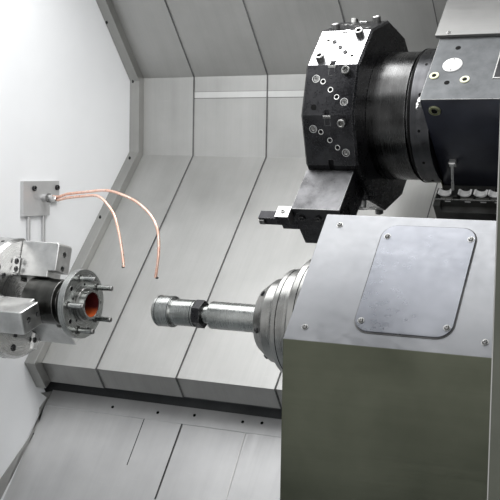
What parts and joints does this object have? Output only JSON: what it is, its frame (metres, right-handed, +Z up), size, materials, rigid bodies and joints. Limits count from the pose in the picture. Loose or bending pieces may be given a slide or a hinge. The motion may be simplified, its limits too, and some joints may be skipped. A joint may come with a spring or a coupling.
{
  "type": "cnc turning lathe",
  "caption": "Slant-bed turning lathe with chuck, indexing tool turret on a cross slide, tailstock with live centre, telescopic way covers and a sliding door.",
  "frame": {"origin": "on the floor under the spindle axis, at the middle of the machine's length", "axes": "+X along the spindle from the chuck towards the tailstock, +Y from the operator's door to the back, +Z up"},
  "size_m": [2.72, 1.7742, 1.95],
  "materials": {
    "cast_paint": "painted casting, satin",
    "stainless": "brushed sheet, satin",
    "paint_white": "smooth paint, satin",
    "paint_grey": "fine textured paint",
    "copper": "bright drawn tube",
    "black_paint": "semi-gloss paint",
    "screen_glass": "gloss",
    "window_glass": "clear",
    "machined_steel": "turned and ground",
    "black_oxide": "blackened steel, oiled",
    "stop_red": "gloss"
  },
  "bodies": {
    "root": {"base_frame": "cast_paint", "bed_casting": "cast_paint", "tailstock_shelf": "cast_paint", "chip_guard": "stainless", "headstock": "cast_paint", "headstock_wall": "paint_white", "wall_trim": "stainless", "cover_1": "stainless", "right_wall": "paint_white", "right_cover_3": "stainless", "left_side_panel": "paint_grey", "right_side_panel": "paint_grey", "rear_panel": "paint_grey", "roof_panel": "paint_grey", "front_apron": "paint_grey", "front_left_panel": "paint_grey", "front_right_panel": "paint_grey", "header_panel": "paint_grey", "coolant_plate": "stainless", "coolant_pipe_long": "copper", "coolant_pipe_short": "copper", "feed_pipe_1": "stainless", "feed_pipe_2": "stainless", "control_panel": "black_paint", "control_screen": "screen_glass"},
    "door": {"door_frame": "paint_grey", "door_window": "window_glass", "door_handle": "machined_steel"},
    "stop_button": {"stop_button": "stop_red"},
    "carriage": {"saddle": "cast_paint", "cover_4": "stainless", "saddle_skirt": "stainless", "carriage_cover": "stainless", "right_cover_1": "stainless"},
    "cover_2": {"cover_2": "stainless"},
    "cover_3": {"cover_3": "stainless"},
    "right_cover_2": {"right_cover_2": "stainless"},
    "cross_slide": {"turret_housing": "black_paint", "slide_cover": "paint_grey", "chain_tray": "black_paint", "cable_chain": "black_paint", "hub_flange": "black_oxide"},
    "turret": {"turret_disc": "black_oxide", "turret_hub": "machined_steel", "tool_holder": "black_oxide", "tool_bar": "black_oxide", "tool_clamp": "machined_steel"},
    "spindle": {"spindle": "machined_steel", "chuck_body": "machined_steel", "work_flange": "machined_steel"},
    "jaw_1": {"jaw_1": "machined_steel"},
    "jaw_2": {"jaw_2": "machined_steel"},
    "jaw_3": {"jaw_3": "machined_steel"},
    "tailstock": {"tailstock_casting": "cast_paint", "tailstock_cover": "stainless", "cover_plate": "stainless", "tailstock_nose": "machined_steel"},
    "quill": {"quill": "machined_steel", "centre_nut": "black_oxide"},
    "live_centre": {"live_centre": "machined_steel"}
  },
  "joints": [
    {"name": "door_slide", "type": "slide", "parent": "root", "child": "door", "axis": [1, 0, 0], "range_m": [0, 1.042]},
    {"name": "stop_press", "type": "slide", "parent": "root", "child": "stop_button", "axis": [0, 1, 0], "range_m": [0, 0.004], "stiffness_N_per_m": 600},
    {"name": "carriage_slide", "type": "slide", "parent": "root", "child": "carriage", "axis": [1, 0, 0], "range_m": [-0.35, 0.15]},
    {"name": "cover_2_slide", "type": "slide", "parent": "root", "child": "cover_2", "axis": [1, 0, 0], "range_m": [-0.1168, 0.0501]},
    {"name": "cover_3_slide", "type": "slide", "parent": "root", "child": "cover_3", "axis": [1, 0, 0], "range_m": [-0.2335, 0.1001]},
    {"name": "right_cover_2_slide", "type": "slide", "parent": "root", "child": "right_cover_2", "axis": [1, 0, 0], "range_m": [-0.1751, 0.0751]},
    {"name": "cross_slide_feed", "type": "slide", "parent": "carriage", "child": "cross_slide", "axis": [0, 0.6833, 0.7302], "range_m": [-0.15, 0.03]},
    {"name": "turret_index", "type": "hinge", "parent": "cross_slide", "child": "turret", "pos_m": [0.229, 0.397, 1.447], "axis": [1, 0, 0], "continuous": true},
    {"name": "spindle_spin", "type": "hinge", "parent": "root", "child": "spindle", "pos_m": [-0.43, 0, 1.05], "axis": [1, 0, 0], "continuous": true},
    {"name": "jaw_1_slide", "type": "slide", "parent": "spindle", "child": "jaw_1", "axis": [0, 0.2419, 0.9703], "range_m": [0, 0.006]},
    {"name": "jaw_2_slide", "type": "slide", "parent": "spindle", "child": "jaw_2", "axis": [0, 0.7193, -0.6947], "range_m": [0, 0.0061]},
    {"name": "jaw_3_slide", "type": "slide", "parent": "spindle", "child": "jaw_3", "axis": [0, -0.9613, -0.2756], "range_m": [0, 0.0061]},
    {"name": "tailstock_slide", "type": "slide", "parent": "root", "child": "tailstock", "axis": [1, 0, 0], "range_m": [-0.12, 0.25]},
    {"name": "quill_slide", "type": "slide", "parent": "tailstock", "child": "quill", "axis": [-1, 0, 0], "range_m": [-0.1, 0.03]},
    {"name": "live_centre_spin", "type": "hinge", "parent": "quill", "child": "live_centre", "pos_m": [0, 0, 1.05], "axis": [1, 0, 0], "continuous": true}
  ],
  "couplings": [
    {"joint": "cover_2_slide", "follows": "carriage_slide", "ratio": 0.33333},
    {"joint": "cover_3_slide", "follows": "carriage_slide", "ratio": 0.66667},
    {"joint": "right_cover_2_slide", "follows": "carriage_slide", "ratio": 0.5},
    {"joint": "jaw_2_slide", "follows": "jaw_1_slide", "ratio": 1},
    {"joint": "jaw_3_slide", "follows": "jaw_1_slide", "ratio": 1}
  ]
}
